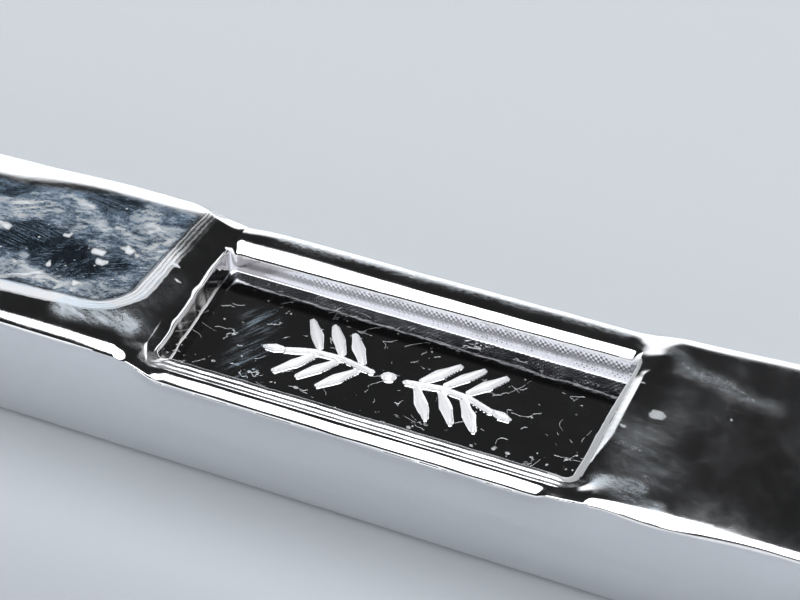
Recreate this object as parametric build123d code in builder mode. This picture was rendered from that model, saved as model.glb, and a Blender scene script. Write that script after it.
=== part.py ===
from math import radians, tan
import os

from build123d import *

# Solder bar, cast in an open mould and stamped while it was still soft.
# X runs along the bar, Y across it and Z up. The origin is the middle of the base.
# The pocket of the stamp is halfway along. Millimetres and degrees.

# Bar as cast, overall
bar_length = 335.0
bar_width = 21.6
bar_height = 13.5
wall_draft = 18.0
free_edge_radius = 1.3
base_edge_radius = 1.0
base_corner_radius = 1.5

# Stretch that the stamp pressed down, where the metal swelled out over the walls
press_drop = 1.15
press_swell = 0.25
swell_lean = 40.0
pressed_edge_radius = 1.0
press_start = -25.0
press_full_start = -14.0
press_full_end = 16.0
press_end = 25.0
blend_sections = 5
cap_root = 1.0

# Pocket left by the stamp, which landed nearer to one side of the bar
pocket_length = 35.4
near_rim = 1.95
far_rim = 3.9
pocket_depth = 2.2
pocket_draft = 10.0
pocket_corner_radius = 1.0
pocket_lip_radius = 0.5
pocket_floor_radius = 0.4


def corner_reach(radius, lean):
    """How far the sharp corner above a leaning wall lies outside its rounded edge."""
    return radius / tan(radians((90 - lean) / 2)) - radius


# Half-widths of the section's sharp corners, before its edges are rounded
free_corner = bar_width / 2 + corner_reach(free_edge_radius, wall_draft)
wall_run = bar_height * tan(radians(wall_draft))
base_corner = free_corner - wall_run
pressed_corner = (
    bar_width / 2 + press_swell + corner_reach(pressed_edge_radius, swell_lean)
)

# The swelling leaves the cast wall where its own lean meets it
pressed_top = bar_height - press_drop
wall_at_pressed_top = free_corner - press_drop * tan(radians(wall_draft))
swell_height = (pressed_corner - wall_at_pressed_top) / (
    tan(radians(swell_lean)) - tan(radians(wall_draft))
)
swell_foot = pressed_top - swell_height
swell_foot_corner = base_corner + swell_foot * tan(radians(wall_draft))

pocket_width = bar_width - near_rim - far_rim
pocket_offset = (near_rim - far_rim) / 2
pocket_floor = pressed_top - pocket_depth
pocket_run = pocket_depth * tan(radians(pocket_draft))


def between(start, end, share):
    """Value at a share of the way from start to end."""
    return start + (end - start) * share


def ease(share):
    """Smooth step from 0 to 1, level at both ends."""
    return share * share * (3 - 2 * share)


def cap_section(x, pressed):
    """Section at x of the cap above the swelling's foot, rooted in the cast body below.

    pressed is 0 where the bar is as cast and 1 beside the pocket.
    """
    top = between(bar_height, pressed_top, pressed)
    top_corner = between(free_corner, pressed_corner, pressed)
    with BuildSketch(Plane.YZ.offset(x)) as section:
        with BuildLine():
            Polyline(
                (cap_root - swell_foot_corner, swell_foot - cap_root),
                (swell_foot_corner - cap_root, swell_foot - cap_root),
                (swell_foot_corner, swell_foot),
                (top_corner, top),
                (-top_corner, top),
                (-swell_foot_corner, swell_foot),
                close=True,
            )
        make_face()
        fillet(
            section.vertices().group_by(Axis.Y)[-1],
            between(free_edge_radius, pressed_edge_radius, pressed),
        )
    return section.sketch


def blend(start, end, start_pressed, end_pressed):
    """Sections from start to end, easing from one state of the rim to the other."""
    sections = []
    for step in range(blend_sections):
        share = step / (blend_sections - 1)
        pressed = between(start_pressed, end_pressed, ease(share))
        sections.append(cap_section(between(start, end, share), pressed))
    return sections


with BuildPart() as bar:
    # Cast body, drafted on all four sides like its mould
    with BuildSketch():
        RectangleRounded(
            bar_length - bar_width + 2 * base_corner, 2 * base_corner, base_corner_radius
        )
    extrude(amount=bar_height, taper=-wall_draft)
    fillet(bar.faces().sort_by(Axis.Z)[-1].edges(), free_edge_radius)
    fillet(bar.faces().sort_by(Axis.Z)[0].edges(), base_edge_radius)

    # The cap of the stamped stretch takes the place of the plain one
    with BuildSketch(Plane.XY.offset(swell_foot)):
        with Locations(((press_start + press_end) / 2, 0)):
            Rectangle(press_end - press_start, 2 * bar_width)
    extrude(amount=bar_height, mode=Mode.SUBTRACT)
    loft(sections=blend(press_start, press_full_start, 0, 1))
    extrude(cap_section(press_full_start, 1), amount=press_full_end - press_full_start)
    loft(sections=blend(press_full_end, press_end, 1, 0))

    # Pocket, its walls leaning outward to a rounded lip
    with BuildSketch(Plane.XY.offset(pocket_floor)):
        with Locations((0, pocket_offset)):
            RectangleRounded(
                pocket_length - 2 * pocket_run,
                pocket_width - 2 * pocket_run,
                pocket_corner_radius,
            )
    extrude(amount=bar_height, taper=-pocket_draft, mode=Mode.SUBTRACT)
    cut_edges = bar.edges(Select.LAST)
    floor_edges = cut_edges.group_by(Axis.Z)[0]
    lip_edges = cut_edges.filter_by(
        lambda edge: edge.bounding_box().min.Z > pocket_floor + pocket_depth / 2
    )
    fillet(lip_edges, pocket_lip_radius)
    fillet(floor_edges, pocket_floor_radius)

bar.part.label = "bar"

os.makedirs("parts", exist_ok=True)
export_step(bar.part, "parts/bar.step")
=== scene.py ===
import math

import bpy
import numpy as np
from mathutils import Matrix, Vector


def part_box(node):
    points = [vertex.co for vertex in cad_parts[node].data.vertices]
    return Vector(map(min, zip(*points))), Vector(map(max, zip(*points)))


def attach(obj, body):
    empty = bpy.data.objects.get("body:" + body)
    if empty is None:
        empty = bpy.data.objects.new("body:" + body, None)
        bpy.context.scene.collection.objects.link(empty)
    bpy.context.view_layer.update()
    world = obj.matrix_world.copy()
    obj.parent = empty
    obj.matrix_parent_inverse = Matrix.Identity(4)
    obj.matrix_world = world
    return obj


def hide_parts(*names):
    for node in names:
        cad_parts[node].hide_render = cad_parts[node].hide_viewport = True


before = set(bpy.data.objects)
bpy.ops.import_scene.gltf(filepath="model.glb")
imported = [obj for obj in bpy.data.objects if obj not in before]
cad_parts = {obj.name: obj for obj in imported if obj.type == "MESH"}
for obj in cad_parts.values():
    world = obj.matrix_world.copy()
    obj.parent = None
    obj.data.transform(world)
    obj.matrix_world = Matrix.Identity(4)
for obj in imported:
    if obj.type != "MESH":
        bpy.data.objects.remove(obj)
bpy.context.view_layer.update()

# Solder bar, with its free face up. X runs along it, Y across it away from the camera, Z up.
# All lengths are in millimetres, and are made metres where they go to Blender.
MM = 0.001
rng = np.random.default_rng(7)

# Overall sizes, from the frame
box_low, box_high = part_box("bar")
BAR_LENGTH = (box_high[0] - box_low[0]) / MM
BAR_HEIGHT = (box_high[2] - box_low[2]) / MM

# Cast section
BAR_WIDTH = 21.6
WALL_LEAN = math.radians(18.0)
FREE_EDGE_RADIUS = 1.3
LOWER_ARC = 0.4
BASE_EDGE_RADIUS = 1.0
END_CORNER_RADIUS = 5.5

# Stretch that the stamp pressed down
PRESS_DROP = 1.15
PRESS_SWELL = 0.25
SWELL_LEAN = math.radians(40.0)
SWELL_HEIGHT = 1.6
SHOULDER_START = -20.3
SHOULDER_END = -17.75
RUN_OUT_START = 18.3
RUN_OUT_LENGTH = 11.5
CREST_FROM = 2.0

# Flat area that the stamp left untouched, and how the face falls away around it
PLATEAU_END = -20.85
PLATEAU_NEAR = -6.0
PLATEAU_SLANT = 0.085
PLATEAU_CORNER = 3.0
PLATEAU_FALL = 0.035

# Pocket left by the stamp, a little deeper towards +X
POCKET_END = 17.7
POCKET_NEAR = -8.75
POCKET_FAR = 6.88
POCKET_MIDDLE = (POCKET_NEAR + POCKET_FAR) / 2
POCKET_CORNER = 0.9
FLOOR_LEVEL = 10.1
FLOOR_SLOPE = -0.012
WALL_RUN = 0.24
LIP_SLANT = 1.45
LIP_SOFTNESS = 0.12
LIP_DROP = 0.04

# Small steps beside the near lip, and the upstanding burr along the left lip
STEP_COUNT = 3
STEPS_RISE = 0.2
STEPS_WIDTH = 1.2
STEP_DEPTH = 0.95
BURR_SLOPE = 0.3

# Raised pattern on the pocket floor
STROKE_HEIGHT = 0.34

# Mesh: the stretch along the bar that keeps all lines, and the one around it that keeps
# fewer. Spacings of the lines kept are in the middle of the top and in its EDGE_BAND.
FINE_STRETCH = (-20.5, 19.5)
MEDIUM_STRETCH = (-47, 41)
MEDIUM_SPACING = (0.3, 0.09)
COARSE_SPACING = (1.2, 0.25)
EDGE_BAND = 2.2
NEAR_EDGE_RUN = 1.08
FAR_EDGE_RUN = 1.7
EDGE_TURNS = 14
ARC_PIECES = 16
BASE_LINES = 4
FREE_FACE, MOULD_FACE, STAMPED_WALL, POCKET_FLOOR = range(4)


def between(start, end, share):
    return start + (end - start) * share


def smooth_step(value, start, end):
    share = np.clip((value - start) / (end - start), 0.0, 1.0)
    return share * share * (3 - 2 * share)


def window(value, start, full_start, full_end, end):
    """1 between full_start and full_end, easing to 0 at start and end."""
    return smooth_step(value, start, full_start) * (1 - smooth_step(value, full_end, end))


class SmoothNoise:
    """Value noise over the plane, from -1 to 1, the same on every run."""

    def __init__(self, cell, size=64):
        self.cell = cell
        self.size = size
        self.table = rng.uniform(-1, 1, (size, size))

    def __call__(self, x, y):
        u = np.asarray(x) / self.cell + 1000
        v = np.asarray(y) / self.cell + 1000
        column = np.floor(u).astype(int)
        row = np.floor(v).astype(int)
        fu = smooth_step(u - column, 0, 1)
        fv = smooth_step(v - row, 0, 1)

        def at(i, j):
            return self.table[(column + i) % self.size, (row + j) % self.size]

        low = between(at(0, 0), at(1, 0), fu)
        high = between(at(0, 1), at(1, 1), fu)
        return between(low, high, fv)


broad_wave = SmoothNoise(9.0)
short_wave = SmoothNoise(2.6)
lip_wave = SmoothNoise(1.1)
fine_wave = SmoothNoise(0.45)


class Profile:
    """Drop of the surface over a rounded edge, from arcs of (length, final tilt in degrees)."""

    def __init__(self, *arcs):
        width, drop, tilt = [0.0], [0.0], 0.0
        for length, final_tilt in arcs:
            ends = np.linspace(tilt, final_tilt, ARC_PIECES + 1)[1:]
            for middle in ends - (final_tilt - tilt) / (2 * ARC_PIECES):
                width.append(width[-1] + length / ARC_PIECES * math.cos(math.radians(middle)))
                drop.append(drop[-1] + length / ARC_PIECES * math.sin(math.radians(middle)))
            tilt = final_tilt
        self.width = width[-1]
        self.table = np.array(width), np.array(drop)

    def __call__(self, inset):
        """Drop at a distance inside the edge's outermost line."""
        return np.interp(self.width - inset, *self.table)


# Rounded edges of the free face, along its near and far sides and beside the far lip
near_left_edge = Profile((0.25, 13), (0.95, 36), (0.1, 56), (0.1, 90))
near_pressed_edge = Profile((0.3, 14), (0.75, 37.5), (0.1, 56), (0.15, 90))
near_right_edge = Profile((4.0, 8), (0.35, 14), (1.1, 37.5), (0.03, 56), (0.08, 90))
near_end_edge = Profile((4.0, 8), (0.35, 14), (0.42, 37.5), (0.03, 56), (0.2, 90))
near_short_edge = Profile((0.35, 14), (0.8, 37.5), (0.03, 56), (0.08, 90))
near_pinched_left_edge = Profile((2.6, 8.5), (0.05, 60), (0.12, 90))
near_pinched_right_edge = Profile((1.7, 10), (0.04, 60), (0.06, 90))
far_left_edge = Profile((0.7, 4), (3.3, 18), (1.5, 90))
far_middle_edge = Profile((0.7, 4), (1.9, 19), (1.0, 90))
far_pressed_edge = Profile((0.9, 7), (1.0, 34), (0.5, 90))
far_corner_edge = Profile((1.3, 6), (0.9, 30), (0.5, 90))
far_right_edge = Profile((0.6, 4), (0.9, 18), (0.8, 90))
left_crest = Profile((0.3, 14), (1.3, 37.5), (0.1, 56), (0.06, 80))
right_crest = Profile((0.3, 14), (0.85, 37.5), (0.1, 56), (0.06, 80))


# Shape of the free face
def shoulder(x, y):
    """Share of the way down the shoulder at the stamp's left, 1 towards the pocket."""
    shift = np.clip(-y - 7.6, 0, 4)
    shift = shift * shift / (shift + 0.5)
    start = SHOULDER_START + 0.62 * shift - 2.8 * smooth_step(y, 8.6, 10.8)
    end = SHOULDER_END + 0.11 * np.clip(-y - 4.4, 0, 8) + 0.5 * shift
    share = np.clip((x - start) / (end - start), 0, 1)
    share = 0.8 * share + 0.2 * share * share
    fold = 0.07 * window(-y, 3.6, 6, 9.2, 10)
    return between(share, np.clip((x - end) / 0.17 + 1, 0, 1), fold)


def run_out(x, y):
    """Share of the way back up to the cast face at the stamp's right."""
    height = np.clip((y + 6) / 12, 0, 1)
    step_start = 18.15 - 0.25 * height
    step_width = between(0.3, 0.8, smooth_step(y, -6.6, -2.5))
    step = 0.18 * step_width / 0.8 * smooth_step(y, -7.2, -6.4)
    step_width = step_width + 2.4 * smooth_step(y, 5.0, 7.2)
    inner = step * np.clip((x - step_start) / step_width, 0, 1)
    rise = np.clip((x - RUN_OUT_START) / RUN_OUT_LENGTH, 0, 1)
    inner = inner + (1 - step) * (0.4 * rise + 0.6 * smooth_step(rise, 0, 1))

    near = 0.08 * smooth_step(x, 14.8, 17.5) + 0.24 * smooth_step(x, 17.3, 21.5)
    near = near + 0.68 * smooth_step(x, 19.5, 34)
    far = 0.6 * smooth_step(x, 16.6, 20.4) + 0.4 * smooth_step(x, 20, 31)
    near_from = 8.8 - 3.3 * smooth_step(x, 18.4, 20.5)
    share = between(inner, near, smooth_step((-y - near_from) / (10.6 - near_from), 0, 1))
    return between(share, far, smooth_step(y, 4.4, 7.6))


def pressed_share(x, y):
    """Where the stamp pressed the free face down: 0 as cast, 1 fully pressed."""
    return shoulder(x, y) * (1 - run_out(x, y))


def swelling(x):
    return window(x, -18.5, -14.5, 16.5, 20.5)


def half_width(x):
    """Half the bar's width along its length, at its widest height."""
    return BAR_WIDTH / 2 + PRESS_SWELL * swelling(x)


def overlaid(drop, inset, *overlays):
    """Drop towards an edge, with further profiles laid over it by their weights."""
    for profile, weight in overlays:
        drop = between(drop, profile(inset), weight)
    return drop


def edge_drop(x, y, inset):
    """Drop of the free face towards its edges, near and far."""
    right = smooth_step(x, -5, 5)
    near_right = overlaid(
        near_short_edge(inset),
        inset,
        (near_right_edge, smooth_step(x, 20, 26)),
        (near_end_edge, smooth_step(x, 25, 32)),
    )
    near = overlaid(
        between(near_left_edge(inset), near_right, right),
        inset,
        (near_pressed_edge, window(x, -16, -14.6, 16.6, 19.8)),
        (near_pinched_left_edge, window(x, -18.3, -17.4, -15.6, -14.6)),
        (near_pinched_right_edge, window(x, 15.9, 16.6, 19.4, 19.9)),
    )
    far = overlaid(
        far_left_edge(inset),
        inset,
        (far_middle_edge, smooth_step(x, -42, -30)),
        (far_right_edge, right),
        (far_pressed_edge, window(x, -25, -15, 16, 22)),
        (far_corner_edge, window(x, 15.8, 17.4, 18.6, 21)),
    )
    return np.where(y < 0, near, far)


def edge_distance(x, y):
    """Distance in plan from the bar's rounded outline, positive inside."""
    from_end = BAR_LENGTH / 2 - np.abs(x)
    from_side = half_width(x) - np.abs(y)
    corner_x = np.maximum(END_CORNER_RADIUS - from_end, 0)
    corner_y = np.maximum(END_CORNER_RADIUS - from_side, 0)
    inside = np.minimum(from_end, from_side)
    rounded = END_CORNER_RADIUS - np.hypot(corner_x, corner_y)
    return np.where((corner_x > 0) & (corner_y > 0), rounded, inside)


def rounded_distance(out_x, out_y, radius):
    """Distance outside a rounded corner, from the distances past its arc's centre."""
    outside = np.hypot(np.maximum(out_x, 0), np.maximum(out_y, 0))
    inside = np.minimum(np.maximum(out_x, out_y), 0)
    return outside + inside - radius


def pocket_distance(u, v):
    """Distance inside the pocket's lip, negative outside, before the lip wanders."""
    half_span = (POCKET_FAR - POCKET_NEAR) / 2
    out_u = np.abs(u) - POCKET_END + POCKET_CORNER
    out_v = np.abs(v - POCKET_MIDDLE) - half_span + POCKET_CORNER
    return -rounded_distance(out_u, out_v, POCKET_CORNER)


def plateau_distance(x, y):
    """Distance outside the untouched flat area left of the stamp, negative on it."""
    near_line = PLATEAU_NEAR + PLATEAU_SLANT * (x + 22)
    out_x = x - PLATEAU_END + PLATEAU_CORNER
    out_y = near_line - y + PLATEAU_CORNER
    return rounded_distance(out_x, out_y, PLATEAU_CORNER)


def warp(u, v):
    """Moves the points near the pocket, so that its lip slants and wanders."""
    from_end = np.abs(np.abs(u) - POCKET_END)
    from_middle = np.abs(v - POCKET_MIDDLE)
    from_side = np.abs(from_middle - (POCKET_FAR - POCKET_NEAR) / 2)
    along_ends = 1 - smooth_step(from_middle, 7.5, 10.5)
    by_left = 1 - smooth_step(np.abs(u + POCKET_END), 0.3, 5.5)
    by_end = 1 - smooth_step(from_end, 0.2, 1.6)
    by_side = 1 - smooth_step(from_side, 0.15, 1.2)

    slant = LIP_SLANT * np.clip((POCKET_FAR - v) / (POCKET_FAR - POCKET_NEAR), 0, 1)
    slant = slant * by_left * (1 - smooth_step(-v, 8.6, 10.4))
    wander_u = 0.06 * lip_wave(v, u * 0.2 + 31) + 0.02 * fine_wave(v, u * 0.2)
    wander_v = 0.05 * lip_wave(u, v * 0.2 + 57) + 0.015 * fine_wave(u, v * 0.2)
    wander_v = np.where(v > 0, 0.3 * wander_v + 0.008 * u, wander_v)
    x = u + slant + wander_u * by_end * along_ends
    y = v + wander_v * by_side * (np.abs(u) < POCKET_END + 1)
    return x, y


# Relief in the pocket and beside it
def stroke_share(x, y, start, end, half_widths):
    """Distance from a stroke's middle line as a share of its half-width there."""
    ax, ay = start
    bx, by = end
    length2 = (bx - ax) ** 2 + (by - ay) ** 2
    share = np.clip(((x - ax) * (bx - ax) + (y - ay) * (by - ay)) / length2, 0, 1)
    distance = np.hypot(x - between(ax, bx, share), y - between(ay, by, share))
    return distance / np.interp(share, (0, 0.5, 1), half_widths)


def pattern_strokes():
    """Two leafy sprigs, mirrored about a dot in the pocket's middle."""
    strokes = []
    for side in (-1, 1):
        stem = [(1.5, 0.0), (4.2, 0.5), (6.6, 0.35), (8.6, -0.4)]
        for start, end in zip(stem, stem[1:]):
            strokes.append((start, end, (0.24, 0.26, 0.24), side))
        for root_x, root_y in ((2.2, 0.15), (4.1, 0.5), (6.0, 0.4)):
            for way in (-1, 1):
                start = (root_x + 0.35, root_y + 0.55 * way)
                end = (root_x + 2.3, root_y + 3.5 * way)
                strokes.append((start, end, (0.22, 0.48, 0.2), side))
        strokes.append(((8.9, -0.4), (10.2, -0.7), (0.2, 0.42, 0.18), side))
    strokes.append(((-0.05, 0.0), (0.05, 0.0), (0.55, 0.55, 0.55), 1))
    return strokes


def pattern_height(x, y):
    nearest = np.full(np.shape(x), 9.0)
    wobble = 1 + 0.16 * lip_wave(x + 11, y)
    for start, end, half_widths, side in pattern_strokes():
        share = stroke_share(x * side, y - POCKET_MIDDLE, start, end, half_widths)
        nearest = np.minimum(nearest, share * wobble)
    return STROKE_HEIGHT * (1 - np.clip(nearest, 0, 1) ** 2) ** 0.8


def near_steps(u, v):
    """Small steps beside the pocket's near lip, where the metal flowed."""
    distance = np.clip((POCKET_NEAR - v) / STEPS_WIDTH, 0, 1)
    turns = 2 * math.pi * STEP_COUNT
    steps = 1 - distance - STEP_DEPTH * np.sin(turns * distance) / turns
    uneven = 1 + 0.18 * short_wave(u, 7) + 0.06 * lip_wave(u, v * 0.3)
    along = window(u, -17.2, -15.9, 16.6, 17.9)
    return STEPS_RISE * steps * uneven * along * (v < 0)


def left_burr(u, v):
    """Upstanding edge along the pocket's left lip, thinner towards its near end."""
    along = window(v, -9.0, -7.6, 6.0, 6.8)
    width = between(0.26, 0.5, np.clip((v + 7) / 13, 0, 1)) * (1 + 0.25 * lip_wave(v, 3))
    rise = np.clip((u + POCKET_END + width) / width, 0, 1)
    return BURR_SLOPE * width * rise * along * (u < 0)


def crest_drop(u, v):
    """Drop from the crest beside the far lip, broader towards the left."""
    inset = v - POCKET_FAR
    drop = between(left_crest(inset), right_crest(inset), smooth_step(u, -14, 14))
    return drop * window(u, -17.75, -17.0, 17.0, 17.7) * (v > CREST_FROM)


def top_height(u, v, x, y):
    """Height of the free face, the pressed stretch and the pocket."""
    edge_inset = edge_distance(x, y)
    fall = PLATEAU_FALL * np.maximum(plateau_distance(x, y), 0) * (x < -12)
    level = between(BAR_HEIGHT - fall, BAR_HEIGHT - PRESS_DROP, pressed_share(x, y))
    calm = smooth_step(edge_inset, 0.2, 3)
    level = level + (0.02 * broad_wave(x, y) + 0.006 * short_wave(x, y)) * calm
    level = level - edge_drop(x, y, edge_inset + 0.05 * short_wave(x, y + 5) * (1 - calm))
    level = level - crest_drop(u, v) + near_steps(u, v) + left_burr(u, v)

    inside = pocket_distance(u, v)
    lip = np.clip(1 + inside / LIP_SOFTNESS, 0, 1)
    level = level - LIP_DROP * lip * lip * (v < 6)
    floor = FLOOR_LEVEL + FLOOR_SLOPE * x + pattern_height(x, y)
    floor = floor + 0.012 * short_wave(x, y) + 0.004 * lip_wave(x, y)
    return between(level, floor, np.clip(inside / WALL_RUN, 0, 1))


# Lines of the mesh
def spaced(*stretches):
    """Places along one or more stretches, given as (start, end, spacing)."""
    lines = []
    for start, end, step in stretches:
        count = max(1, round((end - start) / step))
        lines += list(np.linspace(start, end, count, endpoint=False))
    lines.append(stretches[-1][1])
    return np.array(lines)


def across_lines():
    """Places of the lines across the top, dense at the edges, the lips and the pattern."""
    half = BAR_WIDTH / 2 + PRESS_SWELL
    turns = np.linspace(0, math.pi / 2, EDGE_TURNS)
    near_edge = -half + NEAR_EDGE_RUN * (1 - np.cos(turns))
    far_edge = half - FAR_EDGE_RUN * (1 - np.cos(turns[::-1]))
    middle = spaced(
        (near_edge[-1], -8.45, 0.04),
        (-8.45, -8.1, 0.1),
        (-8.1, -5.4, 0.22),
        (-5.4, 3.8, 0.13),
        (3.8, 6.3, 0.22),
        (6.3, 6.6, 0.06),
        (6.6, 6.92, 0.025),
        (6.92, 8.6, 0.07),
        (8.6, far_edge[0], 0.14),
    )
    return np.concatenate([near_edge, middle[1:-1], far_edge])


def along_stations():
    """Places of the cross-sections along the bar."""
    end = BAR_LENGTH / 2
    turns = np.linspace(0, math.pi / 2, 10)[1:]
    rounded = end - END_CORNER_RADIUS * (1 - np.sin(turns))
    middle = spaced(
        (-end + END_CORNER_RADIUS, -46, 4.0),
        (-46, -30, 0.5),
        (-30, -19, 0.22),
        (-19, -18.06, 0.055),
        (-18.06, -17.4, 0.033),
        (-17.4, -16.9, 0.1),
        (-16.9, -10.4, 0.2),
        (-10.4, 10.4, 0.115),
        (10.4, 17.0, 0.2),
        (17.0, 17.5, 0.1),
        (17.5, 17.78, 0.04),
        (17.78, 20, 0.1),
        (20, 28, 0.22),
        (28, 40, 0.5),
        (40, end - END_CORNER_RADIUS, 4.0),
    )
    return np.concatenate([-rounded[::-1], middle, rounded])


def thinned(lines, step, edge_step):
    """Indices of a sparser choice of the lines, denser in the rounded edges."""
    kept = [0]
    for index in range(1, len(lines) - 1):
        by_edge = abs(lines[index]) > BAR_WIDTH / 2 - EDGE_BAND
        if lines[index] - lines[kept[-1]] >= (edge_step if by_edge else step):
            kept.append(index)
    if lines[-1] - lines[kept[-1]] < edge_step / 2:
        kept.pop()
    return np.array(kept + [len(lines) - 1])


def lower_profile(x, edge_height, lean):
    """Insets and heights from the widest point down the wall to the base."""
    turns = np.linspace(0, 1, 5)[1:] * lean
    insets = list(LOWER_ARC * (1 - np.cos(turns)))
    heights = list(edge_height - LOWER_ARC * np.sin(turns))

    cast_edge = BAR_HEIGHT - FREE_EDGE_RADIUS
    wall_at_base = half_width(x) - BAR_WIDTH / 2 + cast_edge * math.tan(WALL_LEAN)
    tip = BASE_EDGE_RADIUS * math.tan((math.pi / 2 - WALL_LEAN) / 2)
    start_inset = wall_at_base - tip * math.sin(WALL_LEAN)
    start_height = tip * math.cos(WALL_LEAN)
    foot_height = heights[-1] - SWELL_HEIGHT
    foot_inset = wall_at_base - foot_height * math.tan(WALL_LEAN)
    for share in (0.5, 1.0):
        insets.append(between(insets[3], foot_inset, share))
        heights.append(between(heights[3], foot_height, share))
    for share in (0.25, 0.5, 0.75):
        insets.append(between(foot_inset, start_inset, share))
        heights.append(between(foot_height, start_height, share))
    centre_inset = start_inset + BASE_EDGE_RADIUS * math.cos(WALL_LEAN)
    for turn in np.linspace(0, 1, 5) * (math.pi / 2 - WALL_LEAN):
        insets.append(centre_inset - BASE_EDGE_RADIUS * math.cos(WALL_LEAN + turn))
        heights.append(BASE_EDGE_RADIUS * (1 - math.sin(WALL_LEAN + turn)))
    return np.array(insets), np.array(heights)


def corner_inset(from_end, radius):
    """How far the outline draws in beside the bar's end, at a distance from that end."""
    depth = np.clip(radius - from_end, 0, radius)
    return radius - np.sqrt(radius * radius - depth * depth)


def section_loop(u, across):
    """One closed loop of points around the bar, over the top, then down and under."""
    side = math.copysign(1, u)
    from_end = BAR_LENGTH / 2 - abs(u)
    half_top = half_width(u) - corner_inset(from_end, END_CORNER_RADIUS)
    v = across * half_top / (BAR_WIDTH / 2 + PRESS_SWELL)
    flat_u = np.full(len(across), u)
    x, y = warp(flat_u, v)
    top = np.column_stack([x, y, top_height(flat_u, v, x, y)])

    lean = between(WALL_LEAN, SWELL_LEAN, swelling(u))
    slide = 1 - smooth_step(from_end, END_CORNER_RADIUS, 30)
    near_corner = from_end < END_CORNER_RADIUS
    sides = {}
    for sign, edge_height in ((-1, top[0, 2]), (1, top[-1, 2])):
        insets, heights = lower_profile(u, edge_height, lean)
        radii = np.maximum(END_CORNER_RADIUS - insets, 0.5)
        depth = from_end * radii / END_CORNER_RADIUS
        drawn = corner_inset(depth, radii) if near_corner else 0.0 * radii
        end_x = BAR_LENGTH / 2 - insets * slide - (depth if near_corner else from_end)
        lower_y = sign * (half_width(u) - insets - drawn)
        sides[sign] = np.column_stack([side * end_x, lower_y, heights])
    base_start, base_end = sides[1][-1], sides[-1][-1]
    shares = np.linspace(0, 1, BASE_LINES + 2)[1:-1, None]
    base = base_start + (base_end - base_start) * shares
    return top, np.vstack([sides[1], base, sides[-1][::-1]]), v


# Mesh of the bar
def collect_sections(across):
    """Points of all sections with their flat places, and for each section the lines it
    keeps and the number of the point on each of them, -1 where it has none."""
    fine = np.arange(len(across))
    medium = thinned(across, *MEDIUM_SPACING)
    coarse = medium[thinned(across[medium], *COARSE_SPACING)]

    points, flat_u, flat_v, numbers, kept_lines = [], [], [], [], []
    total = 0
    for u in along_stations():
        choice = coarse
        if MEDIUM_STRETCH[0] < u < MEDIUM_STRETCH[1]:
            choice = medium
        if FINE_STRETCH[0] < u < FINE_STRETCH[1]:
            choice = fine
        top, under, v = section_loop(u, across)
        kept = np.concatenate([choice, np.arange(len(top), len(top) + len(under))])
        index = np.full(len(top) + len(under), -1)
        index[kept] = total + np.arange(len(kept))
        under_v = np.sign(under[:, 1]) * BAR_WIDTH / 2
        points.append(np.vstack([top, under])[kept])
        flat_u.append(np.full(len(kept), u))
        flat_v.append(np.concatenate([v, under_v])[kept])
        numbers.append(index)
        kept_lines.append(kept)
        total += len(kept)
    points, flat_u, flat_v = map(np.concatenate, (points, flat_u, flat_v))
    return points, flat_u, flat_v, numbers, kept_lines


def skin(numbers, kept_lines):
    """Faces between the sections and over both ends, and the line that each starts at."""
    faces, lines = [], []
    for row in range(len(numbers) - 1):
        sparse = min(kept_lines[row], kept_lines[row + 1], key=len)
        first, second = numbers[row], numbers[row + 1]
        for start, end in zip(sparse, np.append(sparse[1:], sparse[0])):
            if end > start:
                lower = [int(i) for i in first[start : end + 1] if i >= 0]
                upper = [int(i) for i in second[start : end + 1] if i >= 0]
            else:
                lower = [int(first[start]), int(first[end])]
                upper = [int(second[start]), int(second[end])]
            faces.append(lower[::-1] + upper)
            lines.append(start)
    faces.append([int(i) for i in numbers[0] if i >= 0])
    faces.append([int(i) for i in numbers[-1] if i >= 0][::-1])
    return faces, np.array(lines)


def finish_of_faces(faces, lines, flat_u, flat_v, top_count):
    """Which finish each face has, from its place; the two end faces come last."""
    middle_u = np.array([flat_u[face].mean() for face in faces[:-2]])
    middle_v = np.array([flat_v[face].mean() for face in faces[:-2]])
    inside = pocket_distance(middle_u, middle_v)
    on_top = lines < top_count - 1
    finish = np.full(len(faces), MOULD_FACE)
    finish[:-2][on_top] = FREE_FACE
    finish[:-2][on_top & (inside > 0)] = STAMPED_WALL
    finish[:-2][on_top & (inside > WALL_RUN)] = POCKET_FLOOR
    return finish


def build_bar():
    across = across_lines()
    points, flat_u, flat_v, numbers, kept_lines = collect_sections(across)
    faces, lines = skin(numbers, kept_lines)
    mesh = bpy.data.meshes.new("bar_casting")
    mesh.from_pydata((points * MM).tolist(), [], faces)
    mesh.update()
    finish = finish_of_faces(faces, lines, flat_u, flat_v, len(across))
    mesh.polygons.foreach_set("material_index", finish.astype(np.int32))
    mesh.polygons.foreach_set("use_smooth", np.ones(len(faces), dtype=bool))
    mark_wear(mesh, points[:, 0], points[:, 1], flat_u, flat_v)
    piece = bpy.data.objects.new("bar_casting", mesh)
    bpy.context.collection.objects.link(piece)
    return piece


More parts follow.
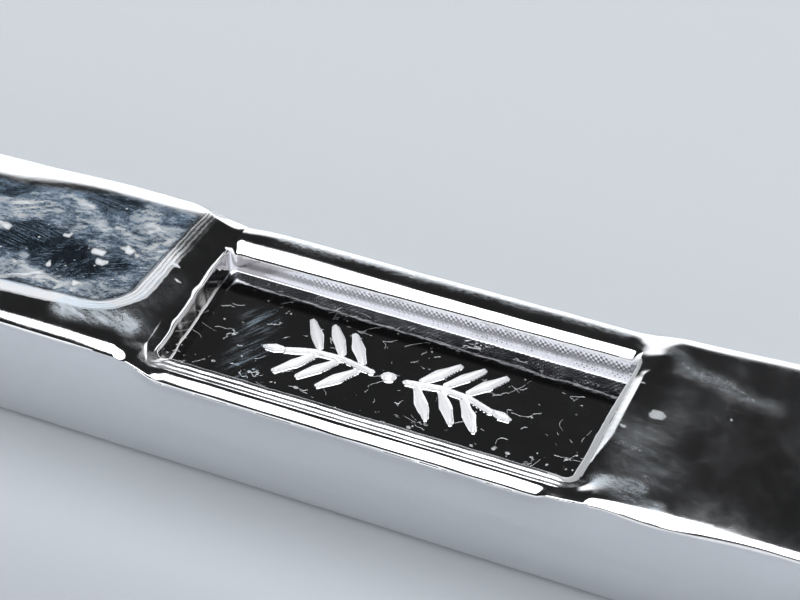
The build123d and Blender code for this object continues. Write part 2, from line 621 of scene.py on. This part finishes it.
# Where the finish varies: attributes that the materials read
# Patches along a line, as weight, start, end and radius
HAZE_PATCHES = (
    (0.3, (-23.5, 5.6), (-22.6, 1.5), 3.0),
    (0.35, (-35.5, 2.0), (-32.2, 4.3), 2.2),
    (0.32, (-32.5, -5.6), (-23.8, -5.4), 1.6),
    (0.15, (-28.5, 5.4), (-26.0, 3.5), 2.6),
    (-0.45, (-32.0, 0.0), (-27.8, -2.3), 3.6),
    (-0.45, (-30.0, 7.4), (-27.5, 7.3), 1.8),
    (-0.5, (-39.0, 5.2), (-37.5, 5.2), 3.0),
    (0.4, (-32.1, -1.4), (-29.9, -5.3), 0.55),
    (-0.3, (-25.4, -2.7), (-23.6, -1.4), 1.8),
)
FROST_PATCHES = (
    (0.45, (20.4, 8.0), (22.0, 6.3), 1.3),
    (0.4, (21.6, 6.6), (29.0, 4.0), 1.5),
    (0.85, (19.7, -7.9), (22.4, -7.9), 1.5),
    (0.55, (21.5, -9.0), (24.2, -9.4), 1.2),
    (0.35, (20.0, -2.0), (23.0, -6.0), 4.0),
    (1.15, (-24.6, -7.5), (-19.6, -7.0), 2.0),
    (0.5, (-22.0, -7.4), (-18.6, -6.4), 1.9),
    (0.35, (-19.6, -5.5), (-19.0, -0.5), 2.4),
)
# Bruises, as x, y, radius and how flat each is
BRUISES = (
    (-25.8, -0.1, 0.7, 1.5),
    (-25.3, -1.2, 0.6, 1.8),
    (-23.9, 1.4, 0.7, 1.5),
    (-22.9, 0.7, 0.5, 1.7),
    (-25.6, -4.6, 0.5, 1.3),
    (-29.5, 1.1, 0.4, 1.2),
    (-28.8, -3.2, 0.35, 1.0),
    (-31.6, -4.1, 0.4, 1.2),
    (-34.7, -0.1, 0.5, 1.2),
    (-19.8, 1.4, 0.4, 2.2),
    (-18.9, 0.0, 0.4, 2.2),
    (21.2, 0.5, 0.75, 0.95),
    (19.2, -1.6, 0.35, 1.6),
    (18.9, 4.0, 0.35, 2.0),
    (26.5, 1.8, 0.25, 1.2),
)
LARGE_BRUISE = 0.72
# As start, end and radius
RIM_DUST = ((-14, 9.5), (15.5, 9.5), 0.9)
FLOOR_SCUFF = ((-12.0, 1.5), (-10.5, -7.0), 2.6)


def patch(x, y, start, end, radius):
    """Soft-edged patch along a line, 1 in its middle."""
    share = stroke_share(x, y, start, end, (radius, radius, radius))
    return 1 - smooth_step(share, 0.2, 1)


def worn_area(x, y):
    """The untouched flat area left of the stamp, 1 on it, short of the rounded far edge."""
    far_line = between(4.3, 2.3, smooth_step(x, -38, -27))
    by_far_edge = smooth_step(edge_distance(x, y), far_line, far_line + 0.9)
    on_plateau = 1 - smooth_step(plateau_distance(x, y), -0.5, 0)
    return on_plateau * np.where(y > 0, by_far_edge, 1)


def haze_level(x, y):
    """How cloudy the untouched area is from place to place, about a middle of 0.5."""
    level = 0.5
    for weight, start, end, radius in HAZE_PATCHES:
        level = level + weight * patch(x, y, start, end, radius)
    return level


def frost_level(x, y):
    """Hazy patches on the free face beside the stamp."""
    amount = np.zeros(np.shape(x))
    for weight, start, end, radius in FROST_PATCHES:
        amount = np.maximum(amount, weight * patch(x, y, start, end, radius))
    return amount


def bruise_level(x, y):
    """Small bruises that the light catches."""
    amount = np.zeros(np.shape(x))
    for bruise_x, bruise_y, radius, flat in BRUISES:
        distance = np.hypot(x - bruise_x, (y - bruise_y) * flat) / radius
        ragged = 0.45 if radius < LARGE_BRUISE else 0.25
        distance = distance * (1 + ragged * (lip_wave(x * 1.7, y * 2.6) + fine_wave(x, y)))
        amount = np.maximum(amount, 1 - smooth_step(distance, 0.6, 1))
    return amount


def lip_wear(u, v):
    """Dulled strip outside the pocket's right lip, broader towards its near corner."""
    outside = -pocket_distance(u, v)
    height = np.clip((v - POCKET_NEAR) / (POCKET_FAR - POCKET_NEAR), 0, 1)
    width = between(0.6, 0.34, height) * (1 + 0.12 * lip_wave(v * 1.3, u * 0.1))
    right = (u > 15.9) * (outside < width) * (outside > -0.03) * (v < POCKET_FAR + 0.3)
    return 0.76 * right


def mark_wear(mesh, x, y, flat_u, flat_v):
    normals = np.zeros(len(x) * 3)
    mesh.vertices.foreach_get("normal", normals)
    values = {
        "plateau": plateau_distance(x, y),
        "lip": pocket_distance(flat_u, flat_v),
        "frost": frost_level(x, y),
        "raised": pattern_height(x, y) / STROKE_HEIGHT,
        "worn": worn_area(x, y),
        "haze": haze_level(x, y),
        "rim_dust": patch(x, y, *RIM_DUST),
        "lip_wear": lip_wear(flat_u, flat_v),
        "bruise": bruise_level(x, y),
        "floor_scuff": patch(x, y, *FLOOR_SCUFF),
        "upward": normals[2::3],
    }
    for name, value in values.items():
        layer = mesh.attributes.new(name, "FLOAT", "POINT")
        layer.data.foreach_set("value", np.asarray(value, dtype=np.float32))


# Materials
class Shader:
    """A material's node tree, with short calls for the nodes used here."""

    def __init__(self, name):
        self.material = bpy.data.materials.new(name)
        self.material.use_nodes = True
        self.nodes = self.material.node_tree.nodes
        self.links = self.material.node_tree.links
        self.surface = self.nodes["Principled BSDF"]
        self.place = self.add("ShaderNodeTexCoord").outputs["Object"]

    def add(self, kind, **settings):
        node = self.nodes.new(kind)
        for key, value in settings.items():
            setattr(node, key, value)
        return node

    def put(self, socket, value):
        if isinstance(value, bpy.types.NodeSocket):
            self.links.new(value, socket)
        else:
            socket.default_value = value

    def math(self, operation, a, b=0.0, c=0.0):
        node = self.add("ShaderNodeMath", operation=operation)
        for socket, value in zip(node.inputs, (a, b, c)):
            self.put(socket, value)
        return node.outputs[0]

    def plus(self, a, b):
        return self.math("ADD", a, b)

    def minus(self, a, b):
        return self.math("SUBTRACT", a, b)

    def times(self, a, b):
        return self.math("MULTIPLY", a, b)

    def scaled(self, a, factor, b):
        """a times factor, plus b."""
        return self.math("MULTIPLY_ADD", a, factor, b)

    def most(self, *values):
        largest = values[0]
        for value in values[1:]:
            largest = self.math("MAXIMUM", largest, value)
        return largest

    def wave(self, value):
        return self.math("SINE", value)

    def size_of(self, value):
        return self.math("ABSOLUTE", value)

    def turned(self, stretch, across, angle):
        """Object coordinates turned about Z and squeezed, to stretch what is drawn on them."""
        mapping = self.add("ShaderNodeMapping", vector_type="TEXTURE")
        self.links.new(self.place, mapping.inputs["Vector"])
        mapping.inputs["Scale"].default_value = (stretch, across, 1)
        mapping.inputs["Rotation"].default_value = (0, 0, math.radians(angle))
        return mapping.outputs[0]

    def noise(self, scale, detail=2.0, stretch=1, angle=0, rough=0.5, twist=0.0, across=1):
        """Noise with about scale features per metre, stretched along a turned axis."""
        node = self.add("ShaderNodeTexNoise")
        self.links.new(self.turned(stretch, across, angle), node.inputs["Vector"])
        node.inputs["Scale"].default_value = scale
        node.inputs["Detail"].default_value = detail
        node.inputs["Roughness"].default_value = rough
        node.inputs["Distortion"].default_value = twist
        return node.outputs["Fac"]

    def drift(self, scale, detail, reach):
        """A shift of up to reach millimetres along each axis, wandering over the part."""
        noise = self.add("ShaderNodeTexNoise")
        noise.inputs["Scale"].default_value = scale
        noise.inputs["Detail"].default_value = detail
        self.links.new(self.place, noise.inputs["Vector"])
        shift = self.add("ShaderNodeVectorMath", operation="SCALE")
        self.links.new(noise.outputs["Color"], shift.inputs[0])
        shift.inputs["Scale"].default_value = reach * MM
        return shift.outputs[0]

    def cells(self, scale, feature="F1", stretch=1, angle=0, shift=None):
        """Voronoi distance, from points or from the borders between the cells."""
        node = self.add("ShaderNodeTexVoronoi", feature=feature)
        place = self.turned(stretch, 1, angle)
        if shift is not None:
            add = self.add("ShaderNodeVectorMath", operation="ADD")
            self.links.new(place, add.inputs[0])
            self.links.new(shift, add.inputs[1])
            place = add.outputs[0]
        self.links.new(place, node.inputs["Vector"])
        node.inputs["Scale"].default_value = scale
        return node.outputs["Distance"]

    def ramp(self, value, low, high, start=0.0, end=1.0):
        """start where value is below low, end where it is above high, and easing between."""
        node = self.add("ShaderNodeMapRange", interpolation_type="SMOOTHSTEP")
        self.put(node.inputs["Value"], value)
        node.inputs["From Min"].default_value = low
        node.inputs["From Max"].default_value = high
        node.inputs["To Min"].default_value = start
        node.inputs["To Max"].default_value = end
        return node.outputs[0]

    def axis(self, index):
        split = self.add("ShaderNodeSeparateXYZ")
        self.links.new(self.place, split.inputs[0])
        return split.outputs[index]

    def along(self, low, high, start=0.0, end=1.0):
        """A ramp along X, between places in millimetres."""
        return self.ramp(self.axis(0), low * MM, high * MM, start, end)

    def across(self, low, high, start=0.0, end=1.0):
        """A ramp along Y, between places in millimetres."""
        return self.ramp(self.axis(1), low * MM, high * MM, start, end)

    def attribute(self, name):
        return self.add("ShaderNodeAttribute", attribute_name=name).outputs["Fac"]

    def bump(self, height, distance, normal=None):
        """Relief of up to a distance in millimetres, on top of an earlier bump's normal."""
        node = self.add("ShaderNodeBump")
        node.inputs["Strength"].default_value = 1.0
        node.inputs["Distance"].default_value = distance * MM
        self.put(node.inputs["Height"], height)
        if normal is not None:
            self.links.new(normal, node.inputs["Normal"])
        return node.outputs[0]

    def mix(self, first, second, share):
        node = self.add("ShaderNodeMix", data_type="RGBA")
        self.put(node.inputs["Factor"], share)
        self.put(node.inputs[6], first)
        self.put(node.inputs[7], second)
        return node.outputs[2]

    def metal(self, colour, roughness, normal):
        self.put(self.surface.inputs["Base Color"], colour)
        self.surface.inputs["Metallic"].default_value = 1.0
        self.put(self.surface.inputs["Roughness"], roughness)
        self.links.new(normal, self.surface.inputs["Normal"])
        return self.material


SMOOTH_TIN = 0.06
TIN = (0.86, 0.87, 0.885, 1.0)
MOULD_TIN = (0.84, 0.85, 0.87, 1.0)
SCUFFED_BLUE = (0.48, 0.67, 0.9, 1.0)
SCUFFED_PALE = (0.84, 0.88, 0.9, 1.0)
HAZY_TIN = (0.78, 0.85, 0.91, 1.0)
BRUISED_TIN = (0.86, 0.89, 0.91, 1.0)
POCKET_WALL = (0.8, 0.8, 0.83, 1.0)
# Painted shade for the pocket's far wall and, darker still, its left wall
FAR_WALL_PAINTED_SHADE = (0.68, 0.68, 0.73, 1.0)
LEFT_WALL_PAINTED_SHADE = (0.5, 0.48, 0.47, 1.0)
FLOOR_BLUE = (0.6, 0.78, 0.93, 1.0)
# Painted shade for the strip of the pocket floor that mirrors the far wall
FLOOR_PAINTED_SHADE = (0.2, 0.2, 0.21, 1.0)
# Painted highlight: a whiter tin for the raised strokes, brighter than the metal itself
RAISED_TIN_PAINTED_HIGHLIGHT = (0.97, 0.97, 0.98, 1.0)
KNURL_PITCH = 0.42

# Each set of scratches as angle, scale, stretch, and where in the noise they start and end
SCRATCHES = (
    (-12, 4200, 9, 0.42, 0.66),
    (62, 3800, 9, 0.45, 0.7),
    (28, 4600, 7, 0.45, 0.7),
    (-48, 3600, 8, 0.45, 0.7),
)


def scratched(shader):
    """Fine straight scratches in several directions, each in places."""
    layers = []
    for angle, scale, stretch, low, high in SCRATCHES:
        marks = shader.ramp(shader.noise(scale, 4, stretch, angle, 0.7, 0.3), low, high)
        where = shader.ramp(shader.noise(330, 3, 1.6, angle + 40), 0.4, 0.62)
        layers.append(shader.times(marks, where))
    return shader.most(*layers)


def scuffed(shader, worn, grit, scratches):
    """Cloudy wear of the untouched area: how strong it is, and its brightest wisps."""
    clouds = shader.noise(240, 7, 1.5, 12, 0.62, 0.7)
    clouds = shader.scaled(shader.attribute("haze"), 0.42, clouds)
    clouds = shader.ramp(clouds, 0.56, 0.86)
    flecks = shader.ramp(shader.noise(1100, 6, 2.4, 12, 0.7, 0.6), 0.38, 0.7)
    patches = shader.ramp(shader.noise(560, 6, 2.0, 16, 0.66, 0.5), 0.3, 0.7)
    brushed = shader.ramp(shader.noise(1500, 6, 5, -8, 0.72, 0.3), 0.32, 0.68, 0.62, 1.2)
    wisps = shader.ramp(shader.noise(520, 6, 1.8, 35, 0.7, 1.4), 0.5, 0.7)
    wisps = shader.times(wisps, shader.scaled(clouds, 0.8, 0.15))

    texture = shader.scaled(grit, 0.14, 0.12)
    texture = shader.scaled(flecks, 0.28, texture)
    texture = shader.scaled(patches, 0.44, texture)
    scuffs = shader.scaled(wisps, 0.6, shader.times(clouds, texture))
    scuffs = shader.times(scuffs, brushed)
    scuffs = shader.scaled(grit, 0.12, scuffs)
    scuffs = shader.scaled(scratches, 0.07, scuffs)

    specks = shader.ramp(shader.cells(1300), 0.07, 0.17, 1.0, 0.0)
    sparse = shader.ramp(shader.noise(380, 3), 0.46, 0.56)
    scuffs = shader.most(scuffs, shader.times(specks, sparse))
    return shader.times(shader.times(scuffs, worn), 1.32), shader.times(wisps, worn)


def rippled_border(shader, grit):
    """Band of fine ripples around the untouched area: its dullness and its relief."""
    uneven = shader.noise(420, 3, rough=0.6)
    place = shader.scaled(uneven, 0.5, shader.minus(shader.attribute("plateau"), 0.25))
    from_middle = shader.size_of(shader.minus(place, 0.45))
    ripples = shader.wave(shader.times(place, 19.0))
    by_corner = shader.along(-26, -21.5, 0.1, 0.4)

    band = shader.ramp(from_middle, 0.36, 0.85, 1.0, 0.0)
    band = shader.times(band, shader.scaled(ripples, by_corner, 0.88))
    band = shader.times(band, shader.across(0, 4.5, 1.0, 0.25))
    band = shader.scaled(grit, -0.12, shader.times(band, 2.1))
    strength = shader.times(shader.ramp(from_middle, 0.3, 0.8, 1.0, 0.0), by_corner)
    return band, shader.times(ripples, strength)


def frosted(shader, grit):
    """Dusty haze beside the stamp and along the far rim."""
    dust = shader.ramp(shader.noise(8000, 3, 1.3, 15, 0.7), 0.36, 0.64, 0.22, 0.58)
    swept = shader.ramp(shader.noise(1700, 6, 6, -20, 0.72, 0.3), 0.34, 0.66, 0.05, 0.55)
    dusty = shader.scaled(grit, 0.12, shader.plus(dust, swept))
    on_rim = shader.times(shader.times(shader.attribute("rim_dust"), 0.55), grit)
    return shader.most(shader.times(shader.attribute("frost"), dusty), on_rim)


def free_face_roughness(shader, wear, scratches, bruise):
    """Roughness of the free face, from its wear and from where metal flowed or was rubbed."""
    faint = shader.ramp(shader.noise(260, 6, 1, 10, 0.7, across=1.6), 0.35, 0.75, 0.0, 0.1)
    faint = shader.times(faint, shader.scaled(scratches, 0.6, 0.6))
    faint = shader.plus(faint, shader.along(17, 22, 0.0, 0.03))
    roughness = shader.plus(shader.scaled(wear, 0.32, SMOOTH_TIN), faint)

    beside_lip = shader.ramp(shader.attribute("lip"), -1.25, -1.05, 0.0, 0.13)
    near_side = shader.across(-8.5, -8.2, 1.0, 0.0)
    flow = shader.ramp(shader.noise(1400, 4, 8, rough=0.65), 0.35, 0.65, 0.6, 1.4)
    near_steps_dulled = shader.times(shader.times(beside_lip, near_side), flow)
    roughness = shader.plus(roughness, near_steps_dulled)

    bruised = shader.times(bruise, shader.along(0, 10, 0.62, 0.4))
    worn_lip = shader.times(shader.attribute("lip_wear"), 0.5)
    steep = shader.plus(shader.attribute("upward"), shader.along(17, 20, 0.0, -0.17))
    steep = shader.ramp(steep, 0.4, 0.62, 0.42, 0.0)
    return shader.most(roughness, shader.most(bruised, worn_lip), steep)


def free_face_material():
    shader = Shader("tin_free_face")
    worn = shader.attribute("worn")
    bruise = shader.attribute("bruise")
    grit = shader.ramp(shader.noise(3300, 4, 1.4, 10, 0.72), 0.36, 0.64)
    scratches = scratched(shader)
    scuffs, wisps = scuffed(shader, worn, grit, scratches)
    band, ripples = rippled_border(shader, grit)
    frost = frosted(shader, grit)
    wear = shader.most(scuffs, frost, band)
    roughness = free_face_roughness(shader, wear, scratches, bruise)

    normal = shader.bump(ripples, 0.016)
    normal = shader.bump(shader.times(scratches, worn), 0.003, normal)
    normal = shader.bump(shader.noise(1700, 4, rough=0.6), 0.004, normal)

    pale_scuffs = shader.times(shader.ramp(scuffs, 0.35, 1.0, 0.0, 0.9), worn)
    pale_marks = shader.ramp(shader.most(wisps, bruise), 0.1, 0.6)
    colour = shader.mix(TIN, SCUFFED_BLUE, shader.times(worn, 0.95))
    colour = shader.mix(colour, SCUFFED_PALE, pale_scuffs)
    colour = shader.mix(colour, HAZY_TIN, shader.ramp(frost, 0.1, 0.5))
    colour = shader.mix(colour, BRUISED_TIN, pale_marks)
    return shader.metal(colour, roughness, normal)


def mould_face_material():
    shader = Shader("tin_mould_face")
    streaks = shader.noise(900, 3, 20, rough=0.6)
    normal = shader.bump(streaks, 0.02)
    normal = shader.bump(shader.noise(5200, 2), 0.008, normal)
    roughness = shader.ramp(streaks, 0.3, 0.7, 0.38, 0.46)
    return shader.metal(MOULD_TIN, roughness, normal)


def knurled(shader):
    """Crossed fine ridges, uneven in depth."""
    along, up = shader.axis(0), shader.axis(2)
    frequency = 2 * math.pi / (KNURL_PITCH * MM)
    rising = shader.wave(shader.times(shader.plus(along, up), frequency))
    falling = shader.wave(shader.times(shader.minus(along, up), frequency))
    depth = shader.ramp(shader.noise(900, 3), 0.3, 0.7, 0.3, 1.0)
    return shader.times(shader.plus(rising, falling), depth)


def stamped_wall_material():
    shader = Shader("tin_stamped_wall")
    on_far_wall = shader.across(6.0, 6.3)
    knurled_part = shader.times(shader.along(-14, -8), on_far_wall)
    normal = shader.bump(shader.times(knurled(shader), knurled_part), 0.0024)
    normal = shader.bump(shader.noise(2600, 3, rough=0.6), 0.006, normal)

    far_roughness = shader.ramp(shader.noise(500, 4, 2), 0.3, 0.7, 0.03, 0.08)
    far_roughness = shader.times(far_roughness, on_far_wall)
    worn_lip = shader.times(shader.attribute("lip_wear"), 0.5)
    roughness = shader.most(shader.plus(far_roughness, SMOOTH_TIN), worn_lip)

    on_left_wall = shader.along(-16, -15, 1.0, 0.0)
    on_left_wall = shader.times(on_left_wall, shader.minus(1.0, on_far_wall))
    # Painted shade: the far wall and the left wall of the pocket are painted darker than the
    # tin, the left wall most; their smooth and knurled finishes are real
    colour = shader.mix(POCKET_WALL, FAR_WALL_PAINTED_SHADE, on_far_wall)
    colour = shader.mix(colour, LEFT_WALL_PAINTED_SHADE, on_left_wall)
    return shader.metal(colour, roughness, normal)


def floor_marks(shader):
    """Cracks, hairlines, specks and, along the near lip, crumbs."""
    cracks = shader.cells(380, "DISTANCE_TO_EDGE", 1.4, 15, shader.drift(700, 3, 2.2))
    cracks = shader.ramp(cracks, 0.0, 0.01, 1.0, 0.0)
    cracks = shader.times(cracks, shader.ramp(shader.noise(480, 3), 0.56, 0.62))

    hairs = shader.size_of(shader.minus(shader.noise(300, 1, twist=0.8), 0.5))
    hairs = shader.ramp(hairs, 0.0, 0.004, 0.8, 0.0)
    hairs = shader.times(hairs, shader.ramp(shader.noise(600, 2, 1, 50), 0.54, 0.62))

    specks = shader.ramp(shader.cells(1100), 0.06, 0.13, 1.0, 0.0)
    specks = shader.times(specks, shader.ramp(shader.noise(420, 2), 0.5, 0.58))

    crumbs = shader.ramp(shader.cells(1500, "F1", 1.5), 0.17, 0.27, 1.0, 0.0)
    crumbs = shader.times(crumbs, shader.ramp(shader.noise(900, 2), 0.4, 0.56))
    crumbs = shader.times(crumbs, shader.across(-5.3, -4.2, 1.0, 0.0))
    return shader.most(cracks, specks, hairs, crumbs)


def pocket_floor_material():
    shader = Shader("tin_pocket_floor")
    raised = shader.ramp(shader.attribute("raised"), 0.02, 0.3)
    marks = floor_marks(shader)
    brushed = shader.ramp(shader.noise(2600, 4, 10, 62, 0.65), 0.4, 0.7)
    brushed = shader.times(brushed, shader.attribute("floor_scuff"))
    foot = shader.ramp(shader.attribute("lip"), 0.2, 0.3, 1.0, 0.0)
    foot = shader.times(foot, shader.along(-15, -14, 0.6, 0.0))
    dull = shader.ramp(shader.noise(260, 4, rough=0.6), 0.3, 0.75, 0.0, 0.05)

    roughness = shader.plus(shader.scaled(raised, 0.5, SMOOTH_TIN), dull)
    roughness = shader.scaled(shader.most(marks, foot), 0.34, roughness)
    roughness = shader.scaled(brushed, 0.2, roughness)

    grain = shader.times(shader.noise(1900, 3), raised)
    uneven = shader.times(shader.noise(1500, 3, 1.6, rough=0.6), shader.across(2.4, 4.2))
    normal = shader.bump(marks, 0.008)
    normal = shader.bump(grain, 0.04, normal)
    normal = shader.bump(uneven, 0.012, normal)

    # Painted shade: the floor is painted darker along the strip that mirrors the far wall,
    # which dims the far wall's reflection there
    painted_shade_strip = shader.times(
        shader.across(3.4, 4.0, 0.0, 0.95), shader.across(4.9, 5.6, 1.0, 0.0)
    )
    colour = shader.mix(TIN, FLOOR_BLUE, brushed)
    colour = shader.mix(colour, FLOOR_PAINTED_SHADE, painted_shade_strip)
    # Painted highlight: the raised strokes are painted a whiter tin, so they look as if they
    # catch more light
    colour = shader.mix(colour, RAISED_TIN_PAINTED_HIGHLIGHT, raised)
    return shader.metal(colour, roughness, normal)


def dress(piece):
    makers = {
        FREE_FACE: free_face_material,
        MOULD_FACE: mould_face_material,
        STAMPED_WALL: stamped_wall_material,
        POCKET_FLOOR: pocket_floor_material,
    }
    for index in sorted(makers):
        piece.data.materials.append(makers[index]())


# Studio: a table painted a little darker in front of the bar, as painted shade, and the light
# around it
TABLE_HALF_SIZE = 3000.0
TABLE_FRONT_PAINTED_SHADE = (0.41, 0.435, 0.48, 1.0)
TABLE_BACK = (0.6, 0.635, 0.665, 1.0)
LIGHT_STRENGTH = 3.2
LIGHT_TINT = (1.0, 1.01, 1.03)
# Brightness by how high a direction points, from 0 for level or below to 1 for straight up
LIGHT_BANDS = (
    (0.0, 0.42),
    (0.43, 0.42),
    (0.49, 0.005),
    (0.86, 0.005),
    (0.885, 1.0),
    (1.0, 1.0),
)


def build_floor():
    mesh = bpy.data.meshes.new("floor")
    size = TABLE_HALF_SIZE * MM
    corners = [(-size, -size, 0), (size, -size, 0), (size, size, 0), (-size, size, 0)]
    mesh.from_pydata(corners, [], [(0, 1, 2, 3)])
    floor = bpy.data.objects.new("floor", mesh)
    bpy.context.collection.objects.link(floor)
    shader = Shader("pale_floor")
    # Painted shade: the table's colour darkens towards its front, in front of the bar
    colour = shader.mix(TABLE_FRONT_PAINTED_SHADE, TABLE_BACK, shader.across(-50, 0))
    shader.put(shader.surface.inputs["Base Color"], colour)
    shader.surface.inputs["Roughness"].default_value = 0.6
    shader.surface.inputs["Specular IOR Level"].default_value = 0.2
    mesh.materials.append(shader.material)


def build_world():
    """Bright softbox overhead, a dark band around it and pale surroundings lower down."""
    world = bpy.data.worlds.new("studio")
    bpy.context.scene.world = world
    world.use_nodes = True
    nodes, links = world.node_tree.nodes, world.node_tree.links
    background = nodes["Background"]
    place = nodes.new("ShaderNodeTexCoord")
    split = nodes.new("ShaderNodeSeparateXYZ")
    links.new(place.outputs["Generated"], split.inputs[0])
    ramp = nodes.new("ShaderNodeValToRGB")
    links.new(split.outputs[2], ramp.inputs[0])
    stops = ramp.color_ramp.elements
    while len(stops) < len(LIGHT_BANDS):
        stops.new(0.5)
    for stop, (height, level) in zip(stops, LIGHT_BANDS):
        stop.position = height
        stop.color = [level * tint for tint in LIGHT_TINT] + [1.0]
    links.new(ramp.outputs[0], background.inputs["Color"])
    background.inputs["Strength"].default_value = LIGHT_STRENGTH


# Camera, fitted to the photograph: directions in degrees, lengths in millimetres
VIEW_AZIMUTH = 22.5
VIEW_ELEVATION = 36.24
VIEW_ROLL = 1.86
VIEW_DISTANCE = 169.3
AIM_POINT = (0.0, -0.9, 12.35)
AIM_PIXEL = (389.5, 354.8)
IMAGE_SIZE = (800, 600)
FOCAL_PIXELS = 2200.0
SENSOR_WIDTH = 36.0
NEAR_CLIP = 5.0


def build_camera():
    azimuth, elevation, roll = map(math.radians, (VIEW_AZIMUTH, VIEW_ELEVATION, VIEW_ROLL))
    forward = Vector(
        (
            -math.sin(azimuth) * math.cos(elevation),
            math.cos(azimuth) * math.cos(elevation),
            -math.sin(elevation),
        )
    )
    level_right = Vector((math.cos(azimuth), math.sin(azimuth), 0))
    level_up = level_right.cross(forward)
    right = level_right * math.cos(roll) + level_up * math.sin(roll)
    up = right.cross(forward)
    across = (AIM_PIXEL[0] - IMAGE_SIZE[0] / 2) / FOCAL_PIXELS * VIEW_DISTANCE
    below = (AIM_PIXEL[1] - IMAGE_SIZE[1] / 2) / FOCAL_PIXELS * VIEW_DISTANCE
    place = Vector(AIM_POINT) - forward * VIEW_DISTANCE - right * across + up * below

    data = bpy.data.cameras.new("camera")
    data.sensor_width = SENSOR_WIDTH
    data.lens = FOCAL_PIXELS / IMAGE_SIZE[0] * SENSOR_WIDTH
    data.clip_start = NEAR_CLIP * MM
    camera = bpy.data.objects.new("camera", data)
    bpy.context.collection.objects.link(camera)
    turn = Matrix((right, up, -forward)).transposed()
    camera.matrix_world = Matrix.Translation(place * MM) @ turn.to_4x4()
    bpy.context.scene.camera = camera


bar = build_bar()
dress(bar)
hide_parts("bar")
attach(bar, "root")
build_floor()
build_world()
build_camera()
bpy.context.scene.view_settings.view_transform = "Standard"
